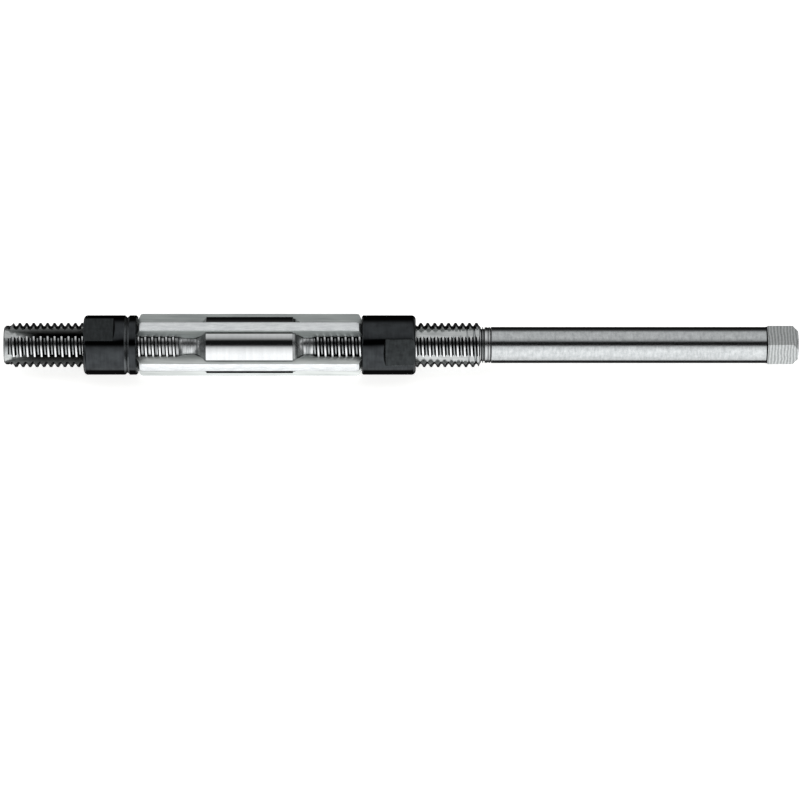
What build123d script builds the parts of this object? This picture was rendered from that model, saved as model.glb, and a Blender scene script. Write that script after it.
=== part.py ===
from build123d import *
import os
from math import acos, cos, degrees, radians, sin, tan

os.makedirs("parts", exist_ok=True)

# Adjustable hand reamer, lying along +X with the front end face at X = 0.
# Sizes are in millimetres. Angles round the axis run from +Y towards +Z.

# Body: lengths of its stretches, one after the other from the front end
lead_length = 1.2
front_thread_length = 30.7
front_neck_length = 2.2
front_cone_length = 2.3
guide_length = 15.55
rear_cone_length = 2.0
rear_neck_length = 1.45
rear_thread_length = 30.8
collar_length = 1.2
shank_length = 49.5
square_length = 5.9

# Body: diameters
lead_diameter = 7.0
thread_diameter = 8.0
neck_diameter = 6.2
guide_diameter = 10.2
collar_diameter = 6.4
shank_diameter = 6.5
square_corner_diameter = 6.95
square_across_flats = 4.9

# Body: edges, fine grooves and centre holes
lead_chamfer = 0.35
shank_chamfer = 0.25
square_chamfer = 0.95
ring_groove_width = 0.2
ring_groove_depth = 0.3
square_corner_angle = 124.0
centre_hole_diameter = 1.6
centre_hole_depth = 3.0
centre_cone_diameter = 3.35
centre_cone_angle = 60.0

# Blade slots: the floor rises towards the shank, and the disc cutter runs out at both ends
blade_angles = [87.5, 170.0, 237.0, 306.0, 15.0]
slot_slope = 1.4
slot_middle_radius = 2.47
slot_front_margin = 13.3
slot_rear_margin = 6.4
slot_cutter_radius = 40.0

# Blades
cutting_diameter = 11.44
blade_thickness = 1.8
blade_edge_length = 39.35
blade_end_angle = 25.0
blade_bevel_length = 0.4
blade_bevel_depth = 0.12
heel_relief_length = 5.4
heel_relief_height = 1.2
blade_side_clearance = 0.03
blade_floor_clearance = 0.01

# Lock nuts
nut_diameter = 10.7
nut_length = 9.7
nut_across_flats = 9.5
nut_flat_length = 5.3
nut_rim_width = 0.7
nut_end_chamfer_length = 0.7
nut_end_chamfer_depth = 0.85
nut_seat_chamfer = 0.25
nut_groove_place = 1.85
nut_groove_width = 0.85
nut_groove_depth = 0.4
nut_thread_clearance = 0.05
nut_seat_clearance = 0.03
front_nut_flat_angle = 88.8
rear_nut_flat_angle = 140.8

# Stations along the body
front_thread_end = lead_length + front_thread_length
front_cone_start = front_thread_end + front_neck_length
guide_start = front_cone_start + front_cone_length
guide_end = guide_start + guide_length
guide_middle = (guide_start + guide_end) / 2
rear_cone_end = guide_end + rear_cone_length
rear_thread_start = rear_cone_end + rear_neck_length
rear_thread_end = rear_thread_start + rear_thread_length
shank_start = rear_thread_end + collar_length
shank_end = shank_start + shank_length
tool_end = shank_end + square_length

# Radii that several pieces share
lead_radius = lead_diameter / 2
thread_radius = thread_diameter / 2
neck_radius = neck_diameter / 2
guide_radius = guide_diameter / 2
collar_radius = collar_diameter / 2
shank_radius = shank_diameter / 2
corner_radius = square_corner_diameter / 2
cutting_radius = cutting_diameter / 2
nut_radius = nut_diameter / 2
groove_bottom_radius = collar_radius - ring_groove_depth

# Places along the slots
slope_rise = tan(radians(slot_slope))
slot_floor_start = slot_front_margin
slot_floor_end = rear_thread_end - slot_rear_margin
slot_top = cutting_radius


def slot_floor(x):
    """Height of the slot floor above the axis at station x."""
    return slot_middle_radius + slope_rise * (x - guide_middle)


def cross_plane(x, angle):
    """Plane across the axis at station x, with its own x direction at an angle."""
    turned = (0, cos(radians(angle)), sin(radians(angle)))
    return Plane(origin=(x, 0, 0), x_dir=turned, z_dir=(1, 0, 0))


# Slot cutter: the space that one pass of the disc cutter clears, pointing along +Z
slot_width = blade_thickness + 2 * blade_side_clearance
floor_front = (slot_floor_start, slot_floor(slot_floor_start))
floor_rear = (slot_floor_end, slot_floor(slot_floor_end))
slope_along = (cos(radians(slot_slope)), sin(radians(slot_slope)))
front_centre_height = floor_front[1] + slot_cutter_radius * slope_along[0]
rear_centre_height = floor_rear[1] + slot_cutter_radius * slope_along[0]
front_turn = degrees(acos((front_centre_height - slot_top) / slot_cutter_radius)) + slot_slope
rear_turn = degrees(acos((rear_centre_height - slot_top) / slot_cutter_radius)) - slot_slope

with BuildPart() as slot_cutter:
    with BuildSketch(Plane.XZ):
        with BuildLine():
            Line(floor_front, floor_rear)
            rear_run_out = JernArc(floor_rear, slope_along, slot_cutter_radius, rear_turn)
            front_run_out = JernArc(
                floor_front, (-slope_along[0], -slope_along[1]), slot_cutter_radius, -front_turn
            )
            Line(front_run_out @ 1, rear_run_out @ 1)
        make_face()
    extrude(amount=slot_width / 2, both=True)

# Body: turned in one piece, then slotted, squared and centre drilled
thread_step = thread_radius - neck_radius
lead_step = thread_radius - lead_radius
collar_step = thread_radius - collar_radius

with BuildPart() as body:
    with BuildSketch(Plane.XZ):
        with BuildLine():
            Polyline(
                (0, 0),
                (0, lead_radius - lead_chamfer),
                (lead_chamfer, lead_radius),
                (lead_length, lead_radius),
                (lead_length + lead_step, thread_radius),
                (front_thread_end - thread_step, thread_radius),
                (front_thread_end, neck_radius),
                (front_cone_start, neck_radius),
                (guide_start, guide_radius),
                (guide_end, guide_radius),
                (rear_cone_end, neck_radius),
                (rear_thread_start, neck_radius),
                (rear_thread_start + thread_step, thread_radius),
                (rear_thread_end - collar_step, thread_radius),
                (rear_thread_end, collar_radius),
                (rear_thread_end, groove_bottom_radius),
                (rear_thread_end + ring_groove_width, groove_bottom_radius),
                (rear_thread_end + ring_groove_width, collar_radius),
                (shank_start - ring_groove_width, collar_radius),
                (shank_start - ring_groove_width, groove_bottom_radius),
                (shank_start, groove_bottom_radius),
                (shank_start, shank_radius - shank_chamfer),
                (shank_start + shank_chamfer, shank_radius),
                (shank_end, shank_radius),
                (shank_end, corner_radius),
                (tool_end - square_chamfer, corner_radius),
                (tool_end, corner_radius - square_chamfer),
                (tool_end, 0),
                close=True,
            )
        make_face()
    revolve(axis=Axis.X)
    with BuildSketch(cross_plane(shank_end, square_corner_angle)):
        Circle(square_corner_diameter)
        Rectangle(square_across_flats, square_across_flats, rotation=45, mode=Mode.SUBTRACT)
    extrude(amount=square_length, mode=Mode.SUBTRACT)
    for angle in blade_angles:
        add(slot_cutter.part, rotation=(angle - 90, 0, 0), mode=Mode.SUBTRACT)
    with Locations(
        Plane(origin=(0, 0, 0), x_dir=(0, 1, 0), z_dir=(-1, 0, 0)),
        Plane(origin=(tool_end, 0, 0), x_dir=(0, 1, 0), z_dir=(1, 0, 0)),
    ):
        CounterSinkHole(
            centre_hole_diameter / 2,
            centre_cone_diameter / 2,
            depth=centre_hole_depth,
            counter_sink_angle=centre_cone_angle,
        )

body.part.label = "body"
export_step(body.part, "parts/body.step")

# Grinding form: the cylinder and end cones to which the five blades are ground together
edge_start = guide_middle - blade_edge_length / 2
edge_end = guide_middle + blade_edge_length / 2
end_lean = tan(radians(blade_end_angle))
bevel_radius = cutting_radius - blade_bevel_depth

with BuildPart() as grinding_form:
    with BuildSketch(Plane.XZ):
        with BuildLine():
            Polyline(
                (edge_start - bevel_radius * end_lean, 0),
                (edge_start, bevel_radius),
                (edge_start + blade_bevel_length, cutting_radius),
                (edge_end - blade_bevel_length, cutting_radius),
                (edge_end, bevel_radius),
                (edge_end + bevel_radius * end_lean, 0),
                close=True,
            )
        make_face()
    revolve(axis=Axis.X)

# Blade form: a wedge whose lower edge follows the slot floor, with a relieved front heel
blank_start = edge_start - cutting_radius * end_lean
blank_end = edge_end + cutting_radius * end_lean
front_foot = edge_start - (cutting_radius - slot_floor(edge_start)) * end_lean
relief_end = front_foot + heel_relief_length
relief_rise = slope_rise - heel_relief_height / heel_relief_length


def blade_floor(x):
    """Height of a blade's lower edge above the axis at station x."""
    return slot_floor(x) + blade_floor_clearance


with BuildPart() as blade_form:
    with BuildSketch(Plane.XZ):
        with BuildLine():
            Polyline(
                (blank_start, blade_floor(relief_end) + relief_rise * (blank_start - relief_end)),
                (relief_end, blade_floor(relief_end)),
                (blank_end, blade_floor(blank_end)),
                (blank_end, cutting_diameter),
                (blank_start, cutting_diameter),
                close=True,
            )
        make_face()
    extrude(amount=blade_thickness / 2, both=True)
    add(grinding_form.part, mode=Mode.INTERSECT)

# Blades: the same wedge in each slot, at its own angle
for number, angle in enumerate(blade_angles, start=1):
    with BuildPart() as blade:
        add(blade_form.part, rotation=(angle - 90, 0, 0))
    blade.part.label = f"blade_{number}"
    export_step(blade.part, f"parts/blade_{number}.step")

# Lock nuts: each one's conical seat bears on the blade ends from its own side
bore_radius = thread_radius + nut_thread_clearance
seat_radius = nut_radius - nut_rim_width
seat_depth = (seat_radius - bore_radius) * end_lean
seat_reach = (bevel_radius - seat_radius) * end_lean + nut_seat_clearance
front_nut_face = edge_start - seat_reach
rear_nut_face = edge_end + seat_reach


def lock_nut(face, outward, flat_angle, grooved):
    """A round nut with two wrench flats. Its seat is at station face; outward is -1 or 1."""

    def at(distance):
        return face + outward * distance

    groove = [
        (at(nut_groove_place - nut_groove_width / 2), nut_radius),
        (at(nut_groove_place), nut_radius - nut_groove_depth),
        (at(nut_groove_place + nut_groove_width / 2), nut_radius),
    ]
    with BuildPart() as nut:
        with BuildSketch(Plane.XZ):
            with BuildLine():
                Polyline(
                    (at(seat_depth), bore_radius),
                    (at(0), seat_radius),
                    (at(0), nut_radius - nut_seat_chamfer),
                    (at(nut_seat_chamfer), nut_radius),
                    *(groove if grooved else []),
                    (at(nut_length - nut_end_chamfer_length), nut_radius),
                    (at(nut_length), nut_radius - nut_end_chamfer_depth),
                    (at(nut_length), bore_radius),
                    close=True,
                )
            make_face()
        revolve(axis=Axis.X)
        with BuildSketch(cross_plane(at(nut_length), flat_angle)):
            Circle(nut_diameter)
            Rectangle(nut_across_flats, 2 * nut_diameter, mode=Mode.SUBTRACT)
        extrude(amount=-outward * nut_flat_length, mode=Mode.SUBTRACT)
    return nut.part


front_nut = lock_nut(front_nut_face, -1, front_nut_flat_angle, True)
front_nut.label = "front_nut"
export_step(front_nut, "parts/front_nut.step")

rear_nut = lock_nut(rear_nut_face, 1, rear_nut_flat_angle, False)
rear_nut.label = "rear_nut"
export_step(rear_nut, "parts/rear_nut.step")
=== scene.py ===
from math import ceil, cos, pi, radians, sin, tan

import bpy
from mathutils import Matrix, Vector


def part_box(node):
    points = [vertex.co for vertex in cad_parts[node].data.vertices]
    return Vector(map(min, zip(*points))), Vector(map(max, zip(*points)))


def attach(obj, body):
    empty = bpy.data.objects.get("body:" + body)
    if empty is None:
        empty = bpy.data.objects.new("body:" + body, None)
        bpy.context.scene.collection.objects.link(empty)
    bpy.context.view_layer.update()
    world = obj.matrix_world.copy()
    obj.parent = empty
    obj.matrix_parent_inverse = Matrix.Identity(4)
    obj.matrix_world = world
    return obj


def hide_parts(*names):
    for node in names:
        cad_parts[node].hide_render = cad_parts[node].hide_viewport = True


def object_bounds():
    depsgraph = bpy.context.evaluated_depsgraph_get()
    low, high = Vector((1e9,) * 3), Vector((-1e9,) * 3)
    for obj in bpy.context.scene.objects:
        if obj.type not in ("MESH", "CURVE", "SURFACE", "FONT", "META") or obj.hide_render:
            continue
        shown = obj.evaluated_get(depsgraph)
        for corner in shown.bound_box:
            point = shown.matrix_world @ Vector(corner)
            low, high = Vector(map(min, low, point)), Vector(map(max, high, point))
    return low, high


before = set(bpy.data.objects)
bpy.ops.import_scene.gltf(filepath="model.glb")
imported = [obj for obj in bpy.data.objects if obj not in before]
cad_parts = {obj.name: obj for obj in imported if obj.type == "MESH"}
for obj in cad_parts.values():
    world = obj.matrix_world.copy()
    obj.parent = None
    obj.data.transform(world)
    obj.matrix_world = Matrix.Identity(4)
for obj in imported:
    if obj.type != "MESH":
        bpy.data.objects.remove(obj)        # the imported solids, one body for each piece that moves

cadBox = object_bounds()
mm = 0.001
seam = 0.0002            # mm; closer points of a turned profile are one
sliver = 0.0005          # mm; what is smaller is merged away after a boolean
scene = bpy.context.scene
viewSlope = 56.0         # degrees that the camera looks down; the tool's axis runs along X


# working on one mesh at a time

def clearSelection():
    for thing in list(bpy.context.selected_objects):
        thing.select_set(False)


def pick(piece):
    clearSelection()
    piece.select_set(True)
    bpy.context.view_layer.objects.active = piece


def startEdit(piece, everything=False):
    pick(piece)
    bpy.ops.object.mode_set(mode="EDIT")
    bpy.ops.mesh.select_mode(type="VERT")
    bpy.ops.mesh.select_all(action="SELECT" if everything else "DESELECT")


def endEdit():
    bpy.ops.object.mode_set(mode="OBJECT")


def applyTo(piece, kind, **settings):
    pick(piece)
    modifier = piece.modifiers.new(kind.title(), kind)
    for key, value in settings.items():
        setattr(modifier, key, value)
    bpy.ops.object.modifier_apply(modifier=modifier.name)


# the slivers that a boolean leaves would tear the mesh at the next one
def combine(piece, other, operation):
    applyTo(piece, "BOOLEAN", operation=operation, solver="EXACT", object=other)
    bpy.data.objects.remove(other)
    startEdit(piece, everything=True)
    bpy.ops.mesh.remove_doubles(threshold=sliver * mm)
    bpy.ops.mesh.select_all(action="SELECT")
    bpy.ops.mesh.dissolve_degenerate(threshold=sliver * mm)
    bpy.ops.mesh.select_all(action="SELECT")
    bpy.ops.mesh.normals_make_consistent(inside=False)
    endEdit()


def joinAll(pieces):
    clearSelection()
    for piece in pieces:
        piece.select_set(True)
    bpy.context.view_layer.objects.active = pieces[0]
    bpy.ops.object.join()
    return pieces[0]


def settle(piece):
    pick(piece)
    bpy.ops.object.transform_apply(location=True, rotation=True, scale=True)


def turned(piece, angle):
    piece.rotation_euler = (radians(angle), 0, 0)
    settle(piece)
    return piece


def smooth(piece, angle=32):
    pick(piece)
    bpy.ops.object.shade_smooth_by_angle(angle=radians(angle))


# a profile is drawn point by point in the XZ plane: (distance along the axis, radius), both in mm
def drawProfile(name, points, closed=False):
    clearSelection()
    bpy.ops.mesh.primitive_plane_add(size=mm)
    piece = bpy.context.object
    piece.name = piece.data.name = name
    bpy.ops.object.mode_set(mode="EDIT")
    bpy.ops.mesh.select_all(action="SELECT")
    bpy.ops.mesh.merge(type="CENTER")
    places = [Vector((x * mm, 0, r * mm)) for x, r in points]
    bpy.ops.transform.translate(value=places[0])
    for before, after in zip(places, places[1:]):
        bpy.ops.mesh.extrude_vertices_move(TRANSFORM_OT_translate={"value": after - before})
    if closed:
        bpy.ops.mesh.select_all(action="SELECT")
        bpy.ops.mesh.edge_face_add()
    endEdit()
    return piece


def turnProfile(name, points, steps=128):
    piece = drawProfile(name, points)
    startEdit(piece, everything=True)
    bpy.ops.mesh.spin(steps=steps, angle=2 * pi, center=(0, 0, 0), axis=(1, 0, 0))
    bpy.ops.mesh.select_all(action="SELECT")
    bpy.ops.mesh.remove_doubles(threshold=seam * mm)
    bpy.ops.mesh.normals_make_consistent(inside=False)
    endEdit()
    return piece


# a flat outline in the XZ plane becomes a plate with that plane at its middle
def thicken(piece, width):
    startEdit(piece, everything=True)
    bpy.ops.mesh.extrude_region_move(TRANSFORM_OT_translate={"value": (0, width * mm, 0)})
    bpy.ops.mesh.select_all(action="SELECT")
    bpy.ops.transform.translate(value=(0, -width / 2 * mm, 0))
    bpy.ops.mesh.normals_make_consistent(inside=False)
    endEdit()
    return piece


# a piece and its cutters get the finishes in the same order, so a cut face keeps the cutter's finish
def dress(piece, finishes, choose):
    names = list(finishes)
    piece.data.materials.clear()
    for name in names:
        piece.data.materials.append(finishes[name])
    for face in piece.data.polygons:
        face.material_index = names.index(choose(face.center / mm, face.normal))
    return piece


# camera: level with the tool's middle, long lens, the axis a little above the frame's middle

camera = dict(
    distance=934.0,          # mm from the axis
    frameWidth=144.0,        # mm seen across the frame at the axis
    middle=71.19,            # mm along the axis at the frame's middle
    axisRow=345.0,           # row of the axis in a frame 800 rows high
    sensor=36.0,
    clip=(0.05, 20),         # metres
)


def makeCamera(s):
    data = bpy.data.cameras.new("camera")
    data.sensor_width = s["sensor"]
    data.lens = s["sensor"] * s["distance"] / s["frameWidth"]
    data.shift_y = (s["axisRow"] - 400) / 800
    data.clip_start, data.clip_end = s["clip"]
    eye = bpy.data.objects.new("camera", data)
    scene.collection.objects.link(eye)
    slope = radians(viewSlope)
    back = Vector((0, -cos(slope), sin(slope)))
    eye.location = Vector((s["middle"] * mm, 0, 0)) + back * s["distance"] * mm
    eye.rotation_mode = "QUATERNION"
    eye.rotation_quaternion = (-back).to_track_quat("-Z", "Y")
    scene.camera = eye


makeCamera(camera)
print("camera set")


# materials, on Object coordinates

def hexColour(text):
    parts = [int(text[i:i + 2], 16) / 255 for i in (1, 3, 5)]
    linear = [c / 12.92 if c <= 0.04045 else ((c + 0.055) / 1.055) ** 2.4 for c in parts]
    return (*linear, 1.0)


def addNode(tree, kind, settings=None, **links):
    node = tree.nodes.new(kind)
    for key, value in (settings or {}).items():
        if key == "stops":
            elements = node.color_ramp.elements
            while len(elements) < len(value):
                elements.new(0.5)
            for element, (position, colour) in zip(elements, value):
                element.position = position
                element.color = colour
        elif isinstance(key, int) or key in node.inputs:
            node.inputs[key].default_value = value
        else:
            setattr(node, key, value)
    for key, source in links.items():
        socket = int(key[2:]) if key.startswith("in") and key[2:].isdigit() else key.replace("_", " ")
        tree.links.new(source, node.inputs[socket])
    return node


# a pattern's size in mm along the tool and round it, as a Mapping scale for metres
def perMetre(along, across):
    return (1000 / along, 1000 / across, 1000 / across)


def startMaterial(name, metallic, roughness):
    material = bpy.data.materials.new(name)
    material.use_nodes = True
    tree = material.node_tree
    shader = tree.nodes["Principled BSDF"]
    shader.inputs["Metallic"].default_value = metallic
    shader.inputs["Roughness"].default_value = roughness
    return material, tree, shader


noPaintedShade = ([(0, 0), (1, 0)], 1, 1)
rampReach = 10.0         # mm that white stands for, where a ramp's colour holds a distance


# bare steel: tool marks and slower mottling shift its colour and roughness, and the marks stand in relief.
# Painted shade darkens what lies near the axis, deep in the slots and where a blade leaves its slot, out to a
# line of (place along the tool, distance from the axis) in mm; it fades beyond that line and leaves a share
# of the colour
def bareSteel(name, s):
    material, tree, shader = startMaterial(name, 1.0, s["roughness"][0])
    place = addNode(tree, "ShaderNodeTexCoord")
    markSize = addNode(tree, "ShaderNodeMapping", {"Scale": perMetre(*s["marks"])},
                       Vector=place.outputs["Object"])
    marks = addNode(tree, "ShaderNodeTexNoise", {"Scale": 1.0, "Detail": 3.0, "Roughness": 0.55},
                    Vector=markSize.outputs["Vector"])
    patchSize = addNode(tree, "ShaderNodeMapping", {"Scale": perMetre(*s["patches"])},
                        Vector=place.outputs["Object"])
    patches = addNode(tree, "ShaderNodeTexNoise", {"Scale": 1.0, "Detail": 2.0},
                      Vector=patchSize.outputs["Vector"])
    both = addNode(tree, "ShaderNodeMix", {"data_type": "FLOAT", 0: s["patchShare"]},
                   in2=marks.outputs["Fac"], in3=patches.outputs["Fac"])
    low, high = s["spread"]
    shades = [(low, hexColour(s["dark"])), (high, hexColour(s["light"]))]
    colour = addNode(tree, "ShaderNodeValToRGB", {"stops": shades}, Fac=both.outputs[0])
    # painted shade: below the given line, near the axis, the colour is darkened to a share of itself
    line, fade, share = s.get("grime", noPaintedShade)
    along = addNode(tree, "ShaderNodeSeparateXYZ", None, Vector=place.outputs["Object"])
    across = addNode(tree, "ShaderNodeMapping", {"Scale": (0, 1000, 1000)},
                     Vector=place.outputs["Object"])
    radius = addNode(tree, "ShaderNodeVectorMath", {"operation": "LENGTH"}, in0=across.outputs["Vector"])
    start, end = line[0][0], line[-1][0]
    stops = [((x - start) / (end - start), (r / rampReach,) * 3 + (1,)) for x, r in line]
    reach = addNode(tree, "ShaderNodeMapRange", {"From Min": start * mm, "From Max": end * mm},
                    Value=along.outputs["X"])
    foot = addNode(tree, "ShaderNodeValToRGB", {"stops": stops}, Fac=reach.outputs["Result"])
    footRadius = addNode(tree, "ShaderNodeMath", {"operation": "MULTIPLY", 1: rampReach},
                         in0=foot.outputs["Color"])
    above = addNode(tree, "ShaderNodeMath", {"operation": "SUBTRACT"}, in0=radius.outputs["Value"],
                    in1=footRadius.outputs[0])
    paintedShadeFactor = addNode(tree, "ShaderNodeMapRange", {"From Max": fade, "To Min": share},
                    Value=above.outputs[0])
    shown = addNode(tree, "ShaderNodeMix", {"data_type": "RGBA", "blend_type": "MULTIPLY", 0: 1.0},
                    in6=colour.outputs["Color"], in7=paintedShadeFactor.outputs["Result"])
    smoothest, roughest = s["roughness"]
    gloss = addNode(tree, "ShaderNodeMapRange", {"From Min": low, "From Max": high, "To Min": roughest,
                                                 "To Max": smoothest}, Value=both.outputs[0])
    relief = addNode(tree, "ShaderNodeBump", {"Strength": 1.0, "Distance": s["relief"] * mm},
                     Height=marks.outputs["Fac"])
    waves = addNode(tree, "ShaderNodeBump", {"Strength": 1.0, "Distance": s["waviness"] * mm},
                    Height=patches.outputs["Fac"], Normal=relief.outputs["Normal"])
    tree.links.new(shown.outputs[2], shader.inputs["Base Color"])
    tree.links.new(gloss.outputs["Result"], shader.inputs["Roughness"])
    tree.links.new(waves.outputs["Normal"], shader.inputs["Normal"])
    return material


# cut thread: rubbed bright crests, roots painted greyer as shade in the thread's hollows, and flanks painted
# near black as a dark reflection beside them
def threadSteel(name, s):
    material, tree, shader = startMaterial(name, 1.0, s["roughness"][0])
    place = addNode(tree, "ShaderNodeTexCoord")
    across = addNode(tree, "ShaderNodeMapping", {"Scale": (0, 1000, 1000)},
                     Vector=place.outputs["Object"])
    radius = addNode(tree, "ShaderNodeVectorMath", {"operation": "LENGTH"}, in0=across.outputs["Vector"])
    height = addNode(tree, "ShaderNodeMapRange", {"From Min": s["rootTop"], "From Max": s["crestFoot"]},
                     Value=radius.outputs["Value"])
    patchSize = addNode(tree, "ShaderNodeMapping", {"Scale": perMetre(*s["patches"])},
                        Vector=place.outputs["Object"])
    patches = addNode(tree, "ShaderNodeTexNoise", {"Scale": 1.0, "Detail": 3.0, "Roughness": 0.6},
                      Vector=patchSize.outputs["Vector"])
    crest, root = (addNode(tree, "ShaderNodeValToRGB",
                           {"stops": [(at, hexColour(shade)) for at, shade in zip(s["spread"], s[part])]},
                           Fac=patches.outputs["Fac"]) for part in ("crest", "root"))
    # the colour greys from crest to root: painted shade in the thread's hollows
    bare = addNode(tree, "ShaderNodeMix", {"data_type": "RGBA"}, in0=height.outputs["Result"],
                   in6=root.outputs["Color"], in7=crest.outputs["Color"])
    # faces that point along the axis, the flanks, are painted near black: a painted dark reflection
    facing = addNode(tree, "ShaderNodeSeparateXYZ", None, Vector=place.outputs["Normal"])
    steep = addNode(tree, "ShaderNodeMath", {"operation": "ABSOLUTE"}, in0=facing.outputs["X"])
    flankShade = addNode(tree, "ShaderNodeMapRange", {"From Min": s["flankFrom"], "From Max": s["flankTo"]},
                    Value=steep.outputs[0])
    colour = addNode(tree, "ShaderNodeMix", {"data_type": "RGBA", 7: hexColour(s["flankShade"])},
                     in0=flankShade.outputs["Result"], in6=bare.outputs[2])
    gloss = addNode(tree, "ShaderNodeMapRange", {"To Min": s["roughness"][0], "To Max": s["roughness"][1]},
                    Value=flankShade.outputs["Result"])
    relief = addNode(tree, "ShaderNodeBump", {"Strength": 1.0, "Distance": s["relief"] * mm},
                     Height=patches.outputs["Fac"])
    tree.links.new(colour.outputs[2], shader.inputs["Base Color"])
    tree.links.new(gloss.outputs["Result"], shader.inputs["Roughness"])
    tree.links.new(relief.outputs["Normal"], shader.inputs["Normal"])
    return material


# milled square: the cutter's arcs stand across the flats as wavy light and dark lines
def milledSteel(name, s):
    material, tree, shader = startMaterial(name, 1.0, s["roughness"])
    place = addNode(tree, "ShaderNodeTexCoord")
    waves = {"wave_type": "BANDS", "bands_direction": "X", "Scale": 100 * pi / s["lineSpacing"],
             "Distortion": s["wobble"], "Detail": 2.0, "Detail Scale": 0.6}
    lines = addNode(tree, "ShaderNodeTexWave", waves, Vector=place.outputs["Object"])
    patchSize = addNode(tree, "ShaderNodeMapping", {"Scale": perMetre(*s["patches"])},
                        Vector=place.outputs["Object"])
    patches = addNode(tree, "ShaderNodeTexNoise", {"Scale": 1.0, "Detail": 3.0},
                      Vector=patchSize.outputs["Vector"])
    both = addNode(tree, "ShaderNodeMix", {"data_type": "FLOAT", 0: s["patchShare"]},
                   in2=lines.outputs["Fac"], in3=patches.outputs["Fac"])
    low, high = s["spread"]
    shades = [(low, hexColour(s["dark"])), (high, hexColour(s["light"]))]
    colour = addNode(tree, "ShaderNodeValToRGB", {"stops": shades}, Fac=both.outputs[0])
    relief = addNode(tree, "ShaderNodeBump", {"Strength": 1.0, "Distance": s["relief"] * mm},
                     Height=both.outputs[0])
    tree.links.new(colour.outputs["Color"], shader.inputs["Base Color"])
    tree.links.new(relief.outputs["Normal"], shader.inputs["Normal"])
    return material


guideMiddle = 44.175

# where a blade leaves its slot, a little below the edge: over the thread, the neck, the guide and so on;
# below this line a blade's sides are painted with shade
slotLine = [(31.2, 3.75), (32.3, 3.32), (34.2, 3.2), (35.2, 3.75), (36.3, 4.5), (52.0, 4.5), (53.0, 4.15),
            (54.0, 3.4), (55.2, 3.4), (55.9, 3.75)]

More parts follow.
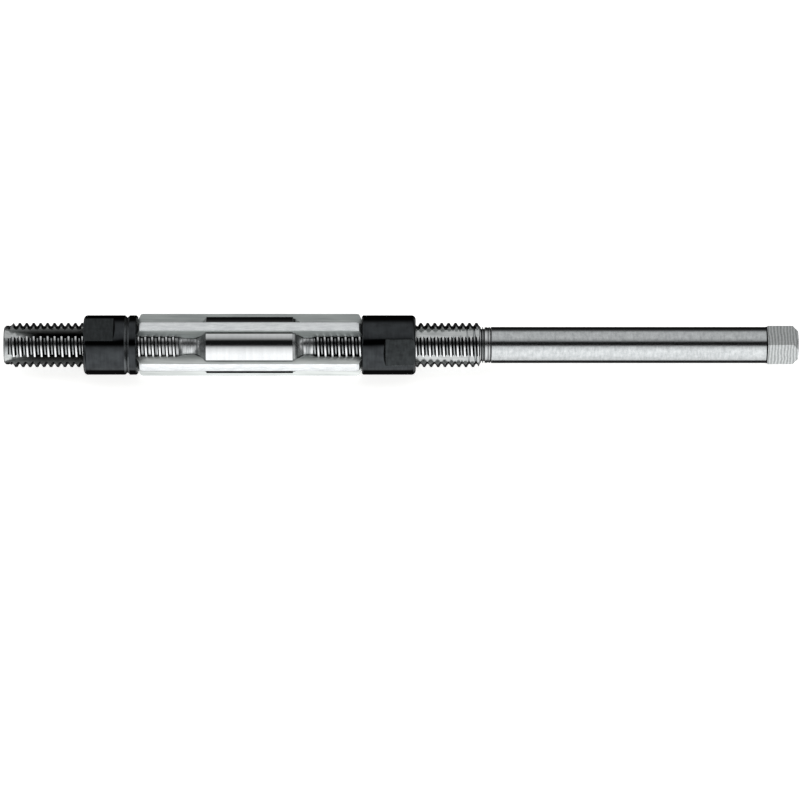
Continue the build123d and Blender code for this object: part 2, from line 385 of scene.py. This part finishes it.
steels = dict(
    # centreless ground: smooth, a wide soft shine with faint rings round the bar
    guide=dict(dark="#C1C3C4", light="#C9CBCC", roughness=(0.07, 0.11), marks=(0.6, 12), patches=(3, 2.5),
               patchShare=0.5, spread=(0.35, 0.65), relief=0.0005, waviness=0.002),
    # ground with a coarser wheel: greyer and grainy, the dark reflection's edges waver along the bar
    shank=dict(dark="#A2A5A6", light="#B7BABB", roughness=(0.12, 0.18), marks=(0.4, 1.2),
               patches=(1.3, 0.8), patchShare=0.5, spread=(0.35, 0.65), relief=0.0015, waviness=0.006),
    # turned with a pointed tool: rings of light and dark round the necks, cones and collar
    turned=dict(dark="#7E8182", light="#C4C6C7", roughness=(0.2, 0.32), marks=(0.38, 9), patches=(1.4, 2),
                patchShare=0.25, spread=(0.38, 0.62), relief=0.004, waviness=0.006),
    # front end in front of the thread: turned too, bruised and greyer from use
    lead=dict(dark="#808384", light="#9DA0A1", roughness=(0.25, 0.38), marks=(0.5, 3), patches=(1, 1),
              patchShare=0.5, spread=(0.36, 0.64), relief=0.003, waviness=0.005),
    # floor of the milled slots: the cutter's marks run along it; its deep front end is painted black as shade
    slotFloor=dict(dark="#A1A4A4", light="#BBBEBE", roughness=(0.26, 0.38), marks=(5, 0.3),
                   patches=(2, 1), patchShare=0.4, spread=(0.36, 0.64), relief=0.002, waviness=0.004,
                   grime=([(0, 2.15), (100, 2.15)], 0.55, 0.05)),
    # walls of the milled slots: dull and light where they are shallow, darkened further down by painted shade
    slotWall=dict(dark="#AEB1B0", light="#C6C9C8", roughness=(0.6, 0.75), marks=(4, 0.4), patches=(2, 1),
                  patchShare=0.4, spread=(0.36, 0.64), relief=0.002, waviness=0.004,
                  grime=([(0, 2.1), (100, 2.1)], 1.2, 0.08)),
    # cylinder ground land: the brightest face, mottled with short streaks along the edge
    bladeLand=dict(dark="#C9CCCE", light="#D7DADB", roughness=(0.14, 0.2), marks=(1.6, 0.35),
                   patches=(3, 1.2), patchShare=0.4, spread=(0.38, 0.62), relief=0.002, waviness=0.003),
    # back of a blade, surface ground: soft grey-green, straight lines along it, with painted shade where it
    # leaves the slot
    bladeSide=dict(dark="#8E9393", light="#A6ABA9", roughness=(0.36, 0.46), marks=(9, 0.25),
                   patches=(6, 1), patchShare=0.4, spread=(0.36, 0.64), relief=0.002, waviness=0.002,
                   grime=(slotLine, 0.2, 0.04)),
    # cutting face of a blade: the same lines, ground finer and so brighter, with the same painted shade where
    # it leaves the slot
    bladeFace=dict(dark="#B3B7B6", light="#CBCFCD", roughness=(0.3, 0.4), marks=(9, 0.25), patches=(6, 1),
                   patchShare=0.4, spread=(0.36, 0.64), relief=0.002, waviness=0.002,
                   grime=(slotLine, 0.2, 0.04)),
    # honed edges: a thin line where land, side and end meet, painted bright as a highlight
    bladeEdgeHighlight=dict(dark="#B4B8BA", light="#E2E5E6", roughness=(0.2, 0.35), marks=(0.8, 0.5),
                   patches=(4, 2), patchShare=0.4, spread=(0.4, 0.6), relief=0.001, waviness=0.001),
    # black oxide on turned steel: near black, satin, with fine rings and a faint cloudiness
    oxide=dict(dark="#2C2E30", light="#383B3D", roughness=(0.09, 0.13), marks=(0.35, 5),
               patches=(1.5, 1.2), patchShare=0.6, spread=(0.36, 0.64), relief=0.001, waviness=0.002),
    # black oxide on the milled flats: deeper black and duller, with the cutter's marks across them
    oxideFlat=dict(dark="#27292A", light="#323536", roughness=(0.2, 0.3), marks=(0.4, 1.5),
                   patches=(1, 0.8), patchShare=0.5, spread=(0.36, 0.64), relief=0.003, waviness=0.003),
    # oxide rubbed through along the nut's edges: patchy bare steel
    oxideEdge=dict(dark="#2E3031", light="#7C7F80", roughness=(0.25, 0.35), marks=(0.7, 0.7),
                   patches=(2, 1.5), patchShare=0.5, spread=(0.44, 0.64), relief=0.001, waviness=0.002),
    # groove near the nut's seat: thin oxide, a little lighter than the round face
    oxideGroove=dict(dark="#4A4D4F", light="#5A5D5F", roughness=(0.2, 0.3), marks=(0.5, 3),
                     patches=(1.5, 1.5), patchShare=0.5, spread=(0.36, 0.64), relief=0.002, waviness=0.002),
    # narrow grooves and inner corners painted near black as shade: a painted dark line round the parts beside
    # them
    recessShade=dict(dark="#0E0F10", light="#1D1F20", roughness=(0.3, 0.5), marks=(0.5, 2), patches=(1, 1),
                patchShare=0.5, spread=(0.4, 0.7), relief=0.002, waviness=0.002),
)

# single-point cut thread; its marks are drawn about three times as coarse as real ones, to show at all
threadFinish = dict(
    # root colour: painted shade in the hollows; flank colour: a painted dark reflection
    crest=("#C2C4C5", "#D6D8D9"), root=("#868A8B", "#9DA0A1"), flankShade="#1F2122",
    spread=(0.35, 0.62), rootTop=3.46, crestFoot=3.8, flankFrom=0.22, flankTo=0.5,
    patches=(1.2, 0.9), roughness=(0.2, 0.45), relief=0.003,
)

squareFinish = dict(dark="#888B8B", light="#C6C9C9", roughness=0.42, lineSpacing=0.55, wobble=4.0,
                    patches=(0.35, 0.45), patchShare=0.5, spread=(0.15, 0.8), relief=0.006)

finish = {name: bareSteel(name + "Steel", s) for name, s in steels.items()}
finish["thread"] = threadSteel("cutThreadSteel", threadFinish)
finish["square"] = milledSteel("milledSquareSteel", squareFinish)
print("materials made", len(finish))


# threaded body

nutBoxes = {name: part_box(name) for name in ("front_nut", "rear_nut")}
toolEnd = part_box("body")[1].x / mm
bodyFinish = {name: finish[name] for name in ("thread", "turned", "lead", "guide", "shank", "square",
                                              "slotFloor", "slotWall", "recessShade")}

thread = dict(
    pitch=1.25,
    crest=4.0,
    root=3.42,
    crestRound=[(-0.29, 3.76), (-0.22, 3.9), (-0.15, 3.98), (0.0, 4.0),
                (0.15, 3.98), (0.22, 3.9), (0.29, 3.76)],
    rootHalf=0.11,
    steps=80,
    spareTurns=2,
    overrun=0.6,
    weld=0.001,
)

guideRadius = 5.1

bodyShape = dict(
    lead=3.5, leadEnd=1.3, leadChamfer=0.35, leadGroove=(0.84, 1.08), leadGrooveDepth=0.1,
    frontThread=(1.2, 32.5), frontRunOut=1.3, rearThread=(55.4, 85.65), rearRunOut=0.35,
    frontCrest=1.71, rearCrest=53.88,   # where a crest passes the top of the bar
    neck=3.2,
    frontCone=[(31.5, 3.6), (32.1, 3.44), (32.8, 3.3), (33.6, 3.22), (34.2, 3.22), (34.7, 3.34),
               (35.2, 3.72), (35.7, 4.26), (36.1, 4.74), (36.4, guideRadius)],
    rearCone=[(51.95, guideRadius), (52.02, 4.86), (52.42, 4.76), (52.5, 4.6), (52.9, 4.16), (53.3, 3.78),
              (53.7, 3.52), (54.1, 3.41), (54.6, 3.38), (55.4, 3.38)],
    collar=3.2, collarStart=85.3, collarEnd=87.4,
    rings=[(85.72, 86.0, 0.3), (86.14, 86.42, 0.3), (86.95, 87.09, 0.12)],
    shank=3.25, shankEnd=137.0, shankChamfer=0.25, undercut=(0.28, 0.12), clear=6.0,
    corner=3.475, cornerChamfer=0.95, halfSquare=2.45, squareAngle=79.0,
    centreHole=0.8, centreDepth=3.0, centreCone=1.675, centreAngle=60.0,
)


# one turn's profile swept along the helix, cut square a little past both ends and closed there
def threadedBar(name, start, end, crestPlace, s):
    early = ceil((crestPlace - start) / s["pitch"]) + s["spareTurns"]
    x0 = crestPlace - (0.5 + early) * s["pitch"]
    mid = x0 + s["pitch"] / 2
    line = [(x0, s["root"]), (x0 + s["rootHalf"], s["root"])]
    line += [(mid + x, r) for x, r in s["crestRound"]]
    line += [(x0 + s["pitch"] - s["rootHalf"], s["root"]), (x0 + s["pitch"], s["root"])]
    bar = drawProfile(name, line)
    turns = ceil((end - x0) / s["pitch"]) + s["spareTurns"]
    applyTo(bar, "SCREW", axis="X", angle=2 * pi, screw_offset=s["pitch"] * mm, iterations=turns,
            steps=s["steps"], render_steps=s["steps"], use_merge_vertices=True,
            merge_threshold=s["weld"] * mm)
    startEdit(bar, everything=True)
    bpy.ops.mesh.remove_doubles(threshold=s["weld"] * mm)
    for place, inner in ((start - s["overrun"], True), (end + s["overrun"], False)):
        bpy.ops.mesh.select_all(action="SELECT")
        bpy.ops.mesh.bisect(plane_co=(place * mm, 0, 0), plane_no=(1, 0, 0), clear_inner=inner,
                            clear_outer=not inner)
    bpy.ops.mesh.select_all(action="SELECT")
    bpy.ops.mesh.fill_holes(sides=0)
    bpy.ops.mesh.select_all(action="SELECT")
    bpy.ops.mesh.normals_make_consistent(inside=False)
    endEdit()
    return bar


# the guide's edges along a slot are eased, so that a dark line shows beside each blade
def edgeCutters(s):
    start, end = s["easedStretch"]
    spread = (s["easedWidth"] - s["width"]) / 2 / s["easedDepth"]
    below = 0.1              # the cutter starts this far inside the slot
    low, high = guideRadius - s["easedDepth"] - below, s["top"] - 1
    narrow = s["width"] / 2 - below * spread
    wide = narrow + (high - low) * spread
    cutters = []
    for angle in s["angles"]:
        outline = [(-narrow, low), (narrow, low), (wide, high), (-wide, high)]
        cutter = thicken(drawProfile("edgeCutter", outline, closed=True), end - start)
        cutter.rotation_euler = (0, 0, pi / 2)
        cutter.location = ((start + end) / 2 * mm, 0, 0)
        settle(cutter)
        dress(cutter, bodyFinish, lambda place, normal: "slotWall")
        cutters.append(turned(cutter, angle - 90))
    return cutters


def slotCutters(s):
    cutters = []
    slope = radians(s["slope"])
    for angle in s["angles"]:
        discs = []
        for x in (s["floorStart"], s["floorEnd"]):
            floor = s["middleFloor"] + tan(slope) * (x - s["middle"])
            place = ((x - s["disc"] * sin(slope)) * mm, 0, (floor + s["disc"] * cos(slope)) * mm)
            clearSelection()
            bpy.ops.mesh.primitive_cylinder_add(vertices=s["discPoints"], radius=s["disc"] * mm,
                                                depth=s["width"] * mm, location=place,
                                                rotation=(pi / 2, 0, 0))
            discs.append(bpy.context.object)
        cutter = joinAll(discs)
        settle(cutter)
        startEdit(cutter, everything=True)
        bpy.ops.mesh.convex_hull()
        bpy.ops.mesh.select_all(action="SELECT")
        bpy.ops.mesh.bisect(plane_co=(0, 0, s["top"] * mm), plane_no=(0, 0, 1), use_fill=True,
                            clear_outer=True)
        bpy.ops.mesh.select_all(action="SELECT")
        bpy.ops.mesh.dissolve_limited(angle_limit=radians(0.1))
        bpy.ops.mesh.normals_make_consistent(inside=False)
        endEdit()
        dress(cutter, bodyFinish,
              lambda place, normal: "slotWall" if abs(normal.y) > 0.9 else "slotFloor")
        cutters.append(turned(cutter, angle - 90))
    return cutters


slots = dict(
    angles=[87.5, 170.0, 237.0, 306.0, 15.0],
    width=1.88, disc=40.0, discPoints=720, slope=1.4,
    middle=guideMiddle, middleFloor=2.47, floorStart=12.4, floorEnd=82.0, top=7.0,
    easedWidth=2.8, easedDepth=0.3, easedStretch=(35.9, 52.4),
)


def makeBody(s, t):
    hole, cone, deep = s["centreHole"], s["centreCone"], s["centreDepth"]
    half = radians(s["centreAngle"] / 2)
    coneDeep, tip = (cone - hole) / tan(half), hole * tan(half)
    grooveStart, grooveEnd = s["leadGroove"]
    grooves = []
    for near, far, ringDepth in s["rings"]:
        bottom = s["collar"] - ringDepth
        grooves += [(near, s["collar"]), (near, bottom), (far, bottom), (far, s["collar"])]
    core = turnProfile("threadedBody", [
        (deep + tip, 0), (deep, hole), (coneDeep, hole), (0, cone),
        (0, s["lead"] - s["leadChamfer"]), (s["leadChamfer"], s["lead"]), (grooveStart, s["lead"]),
        ((grooveStart + grooveEnd) / 2, s["lead"] - s["leadGrooveDepth"]), (grooveEnd, s["lead"]),
        (s["leadEnd"], s["lead"]),
        (s["leadEnd"], s["neck"]), *s["frontCone"], *s["rearCone"],
        (s["collarStart"], s["neck"]), (s["collarStart"], s["collar"]), *grooves,
        (s["collarEnd"], s["collar"]), (s["collarEnd"], s["shank"] - s["shankChamfer"]),
        (s["collarEnd"] + s["shankChamfer"], s["shank"]),
        (s["shankEnd"], s["shank"]), (s["shankEnd"], s["corner"]),
        (toolEnd - s["cornerChamfer"], s["corner"]), (toolEnd, s["corner"] - s["cornerChamfer"]),
        (toolEnd, cone), (toolEnd - coneDeep, hole), (toolEnd - deep, hole), (toolEnd - deep - tip, 0),
    ])

    def stretch(place, normal):
        if s["frontCone"][-1][0] < place.x < s["rearCone"][0][0]:
            return "guide"
        if s["collarEnd"] < place.x < s["shankEnd"] - 0.01:
            return "shank"
        inCollar = s["collarStart"] < place.x < s["collarEnd"] + 0.01
        # the collar's ring grooves and the lead's groove are painted near black as shade
        if inCollar and place.yz.length < s["collar"] - 0.1:
            return "recessShade"
        if place.x < s["leadEnd"]:
            return "recessShade" if grooveStart < place.x < grooveEnd else "lead"
        return "square" if place.x > s["shankEnd"] - 0.01 else "turned"

    dress(core, bodyFinish, stretch)
    bars = (("frontBar", s["frontThread"], s["lead"], s["frontRunOut"], s["frontCrest"]),
            ("rearBar", s["rearThread"], s["neck"], s["rearRunOut"], s["rearCrest"]))
    before, over = 0.2, 0.05     # how far the envelope stands in front of the thread and above its crests
    for name, (start, end), low, runOut, crestPlace in bars:
        bar = threadedBar(name, start, end, crestPlace, t)
        dress(bar, bodyFinish, lambda place, normal: "thread")
        step = t["crest"] - low
        envelope = turnProfile(name + "Envelope", [
            (start - before, 0), (start - before, low - before),
            (start + step + over, t["crest"] + over), (end - runOut, t["crest"] + over),
            (end, s["neck"] - 0.1), (end, 0),
        ])
        combine(bar, dress(envelope, bodyFinish, lambda place, normal: "turned"), "INTERSECT")
        combine(core, bar, "UNION")
        print("thread", name, len(core.data.polygons))
    flat, (undercutWidth, undercutDepth) = s["halfSquare"], s["undercut"]
    shoulder, foot = s["shankEnd"] - 0.02, s["shankEnd"] + undercutWidth
    for k in range(4):
        side = thicken(drawProfile("side", [
            (shoulder, flat - undercutDepth), (foot, flat - undercutDepth), (foot, flat),
            (toolEnd + 1, flat), (toolEnd + 1, s["clear"]), (shoulder, s["clear"]),
        ], closed=True), 10)
        # the undercut at the square's shoulder is painted near black as shade
        dress(side, bodyFinish, lambda place, normal: "recessShade" if place.z < flat - 0.01 else "square")
        combine(core, turned(side, s["squareAngle"] - 90 + 90 * k), "DIFFERENCE")
    for cutter in slotCutters(slots) + edgeCutters(slots):
        combine(core, cutter, "DIFFERENCE")
        print("slot cut", len(core.data.polygons))
    return core


body = makeBody(bodyShape, thread)
smooth(body)
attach(body, "body")
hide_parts("body")
print("body made", len(body.data.polygons))


# blades

bladeShape = dict(
    edgeRadius=5.72, thickness=1.8, edgeLength=39.35, endAngle=25.0,
    bevelLength=0.4, bevelDepth=0.12, heelLength=5.4, heelRise=1.2, floorGap=0.01,
    edgeRound=0.03, sharp=12, landSteps=256,
)
bladeFinish = {name: finish[name] for name in ("bladeLand", "bladeSide", "bladeEdgeHighlight", "bladeFace")}


def makeBlade(s, t):
    lean = tan(radians(s["endAngle"]))
    slope = tan(radians(t["slope"]))
    start, end = t["middle"] - s["edgeLength"] / 2, t["middle"] + s["edgeLength"] / 2
    low = s["edgeRadius"] - s["bevelDepth"]
    land = turnProfile("land", [
        (start - low * lean, 0), (start, low), (start + s["bevelLength"], s["edgeRadius"]),
        (end - s["bevelLength"], s["edgeRadius"]), (end, low), (end + low * lean, 0),
    ], steps=s["landSteps"])

    def floor(x):
        return t["middleFloor"] + slope * (x - t["middle"]) + s["floorGap"]

    front, rear = start - s["edgeRadius"] * lean, end + s["edgeRadius"] * lean
    foot = start - (s["edgeRadius"] - floor(start)) * lean
    heel = foot + s["heelLength"]
    heelSlope = slope - s["heelRise"] / s["heelLength"]
    wedge = drawProfile("blade_1", [
        (front, floor(heel) + heelSlope * (front - heel)), (heel, floor(heel)), (rear, floor(rear)),
        (rear, 2 * s["edgeRadius"]), (front, 2 * s["edgeRadius"]),
    ], closed=True)
    thicken(wedge, s["thickness"])
    combine(wedge, land, "INTERSECT")

    def bladeSurface(place, normal):
        if normal.z > 0.9:
            return "bladeLand"
        return "bladeFace" if normal.y > 0.5 else "bladeSide"

    dress(wedge, bladeFinish, bladeSurface)
    # the bevelled edges get a lighter colour: a painted highlight
    applyTo(wedge, "BEVEL", width=s["edgeRound"] * mm, segments=2, limit_method="ANGLE",
            angle_limit=radians(s["sharp"]), material=list(bladeFinish).index("bladeEdgeHighlight"))
    return wedge


firstBlade = makeBlade(bladeShape, slots)
firstBlade.name = firstBlade.data.name = "blade1"
blades = [firstBlade]
for number in range(2, 6):
    copy = firstBlade.copy()
    copy.data = firstBlade.data.copy()
    copy.name = copy.data.name = f"blade{number}"
    scene.collection.objects.link(copy)
    blades.append(copy)
for number, (blade, angle) in enumerate(zip(blades, slots["angles"]), start=1):
    turned(blade, angle - 90)
    smooth(blade)
    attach(blade, f"blade_{number}")
    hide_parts(f"blade_{number}")
print("blades made", len(firstBlade.data.polygons))


# lock nuts

nutShape = dict(
    radius=5.35, length=9.7, halfFlats=4.75, flatLength=5.3, rim=0.7, endChamfer=(0.7, 0.85),
    seatChamfer=0.25, groovePlace=1.85, grooveWidth=0.85, grooveDepth=0.4, bore=4.05, mouth=0.25,
    edgeRound=0.05, sharp=22, cornerSteps=5, clear=7.0,
    inEnd=(0.1, 0.5),        # how far the flat's inner end lies past its place, at the flat and above it
)
nutFinish = {name: finish[name] for name in ("oxide", "oxideEdge", "oxideFlat", "oxideGroove", "recessShade")}


def makeNut(name, face, outward, flatAngle, grooved, s):
    seatRadius = s["radius"] - s["rim"]
    seatDepth = (seatRadius - s["bore"]) * tan(radians(bladeShape["endAngle"]))
    half = s["grooveWidth"] / 2
    groove = [(s["groovePlace"] - half, s["radius"]), (s["groovePlace"], s["radius"] - s["grooveDepth"]),
              (s["groovePlace"] + half, s["radius"])]
    deep, high = s["endChamfer"]
    corner = [(s["length"] - deep * (1 - sin(turn)), s["radius"] - high * (1 - cos(turn)))
              for turn in (k * pi / 2 / s["cornerSteps"] for k in range(s["cornerSteps"] + 1))]
    points = [(seatDepth, s["bore"]), (0, seatRadius), (0, s["radius"] - s["seatChamfer"]),
              (s["seatChamfer"], s["radius"]), *(groove if grooved else []),
              *corner, (s["length"], s["bore"] + s["mouth"]), (s["length"] - s["mouth"], s["bore"]),
              (seatDepth, s["bore"])]
    nut = turnProfile(name, [(face + outward * x, r) for x, r in points])

    def turnedFinish(place, normal):
        inGroove = grooved and abs(abs(place.x - face) - s["groovePlace"]) < half
        return "oxideGroove" if inGroove and abs(normal.x) > 0.1 and place.yz.length > 4.9 else "oxide"

    dress(nut, nutFinish, turnedFinish)
    flatStart = face + outward * (s["length"] - s["flatLength"])
    foot, top = (flatStart - outward * further for further in s["inEnd"])
    past = face + outward * (s["length"] + 1)
    for k in range(2):
        side = thicken(drawProfile("side", [
            (foot, s["halfFlats"]), (past, s["halfFlats"]), (past, s["clear"]),
            (top - 2 * (foot - top), s["clear"]), (top, s["radius"]),
        ], closed=True), 12)
        # the flat's inner end is painted near black as shade
        dress(side, nutFinish,
              lambda place, normal: "recessShade" if outward * normal.x < -0.1 else "oxideFlat")
        turned(side, flatAngle - 90 + 180 * k)
        combine(nut, side, "DIFFERENCE")
    applyTo(nut, "BEVEL", width=s["edgeRound"] * mm, segments=2, limit_method="ANGLE",
            angle_limit=radians(s["sharp"]), material=list(nutFinish).index("oxideEdge"))
    smooth(nut)
    return nut


frontNut = makeNut("frontLockNut", nutBoxes["front_nut"][1].x / mm, -1, 88.8, True, nutShape)
rearNut = makeNut("rearLockNut", nutBoxes["rear_nut"][0].x / mm, 1, 140.8, False, nutShape)
for nut, node in ((frontNut, "front_nut"), (rearNut, "rear_nut")):
    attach(nut, node)
    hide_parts(node)
print("nuts made", len(frontNut.data.polygons))


# floor and light: a product table of opal acrylic lit from below, and long strip lights along the tool

stageSet = dict(
    floorSize=4.0, acrylic=("#F1F1F0", "#F4F4F3"), glow=0.8,
    background=0.92,             # what the camera sees past the floor's edge
    strength=2.0,                # light that a white ramp colour stands for
    # (degrees round the tool from +Y towards +Z, light): a wide strip above, a dark gap over the camera, a
    # bright wall in front of the tool, dark below
    bands=[(-180, 1.75), (-160, 1.75), (-153, 1.6), (-134, 1.4), (-127, 1.5), (-122, 0.75), (-117, 0.05),
           (-98, 0.02), (-75, 0.03), (-56, 0.01), (-28, 0.0), (-8, 0.01), (6, 0.02), (17, 0.11), (27, 0.54),
           (36, 0.88), (78, 0.92), (85, 0.8), (92, 0.7), (97, 0.52), (100, 0.33), (104, 0.1), (107, 0.01),
           (123, 0.01), (126, 0.09), (128, 0.24), (132, 0.72), (136, 1.0), (140, 1.24), (148, 1.45),
           (155, 1.6), (165, 1.75)],
    # the same round the walls past the tool's ends: light from above, dark at table height, pale below
    endBands=[(-180, 0.25), (-165, 0.3), (-145, 1.4), (-112, 1.4), (-90, 0.6), (-40, 0.5), (-15, 0.12),
              (12, 0.12), (35, 0.7), (75, 1.0), (100, 0.8), (106, 0.02), (123, 0.02), (131, 0.8),
              (148, 0.9), (168, 0.2), (180, 0.25)],
    endsFrom=0.3, endsTo=0.5,    # how far a direction leans to the tool's ends where the walls take over
)


def makeStage(s):
    acrylic, tree, shader = startMaterial("backlitOpalAcrylic", 0.0, 0.6)
    place = addNode(tree, "ShaderNodeTexCoord")
    cloud = addNode(tree, "ShaderNodeTexNoise", {"Scale": 3.0, "Detail": 2.0},
                    Vector=place.outputs["Object"])
    shades = [hexColour(shade) for shade in s["acrylic"]]
    tint = addNode(tree, "ShaderNodeValToRGB", {"stops": [(0.3, shades[0]), (0.7, shades[1])]},
                   Fac=cloud.outputs["Fac"])
    tree.links.new(tint.outputs["Color"], shader.inputs["Base Color"])
    shader.inputs["Emission Color"].default_value = shades[1]
    shader.inputs["Emission Strength"].default_value = s["glow"]
    clearSelection()
    bpy.ops.mesh.primitive_plane_add(size=s["floorSize"], location=(toolEnd / 2 * mm, 0, cadBox[0].z))
    floor = bpy.context.object
    floor.name = "floor"
    floor.data.materials.append(acrylic)
    floor.visible_glossy = False       # the steel mirrors the lights, not the table


def makeWorld(s):
    world = bpy.data.worlds.new("softStudio")
    scene.world = world
    world.use_nodes = True
    tree = world.node_tree
    lights = tree.nodes["Background"]
    lights.inputs["Strength"].default_value = s["strength"]
    direction = addNode(tree, "ShaderNodeTexCoord")
    parts = addNode(tree, "ShaderNodeSeparateXYZ", None, Vector=direction.outputs["Generated"])
    angle = addNode(tree, "ShaderNodeMath", {"operation": "ARCTAN2"}, in0=parts.outputs["Z"],
                    in1=parts.outputs["Y"])
    share = addNode(tree, "ShaderNodeMapRange", {"From Min": -pi, "From Max": pi}, Value=angle.outputs[0])
    rings = []
    for part in ("bands", "endBands"):
        bands = [((degree + 180) / 360, (light / s["strength"],) * 3 + (1,)) for degree, light in s[part]]
        rings.append(addNode(tree, "ShaderNodeValToRGB", {"stops": bands}, Fac=share.outputs["Result"]))
    lean = addNode(tree, "ShaderNodeMath", {"operation": "ABSOLUTE"}, in0=parts.outputs["X"])
    past = addNode(tree, "ShaderNodeMapRange", {"From Min": s["endsFrom"], "From Max": s["endsTo"]},
                   Value=lean.outputs[0])
    light = addNode(tree, "ShaderNodeMix", {"data_type": "RGBA"}, in0=past.outputs["Result"],
                    in6=rings[0].outputs["Color"], in7=rings[1].outputs["Color"])
    tree.links.new(light.outputs[2], lights.inputs["Color"])
    pale = addNode(tree, "ShaderNodeBackground", {"Color": (s["background"],) * 3 + (1,)})
    ray = addNode(tree, "ShaderNodeLightPath")
    seen = addNode(tree, "ShaderNodeMixShader", None, Fac=ray.outputs["Is Camera Ray"],
                   in1=lights.outputs["Background"], in2=pale.outputs["Background"])
    tree.links.new(seen.outputs["Shader"], tree.nodes["World Output"].inputs["Surface"])


makeStage(stageSet)
makeWorld(stageSet)
scene.view_settings.view_transform = "Standard"
print("stage and light set")
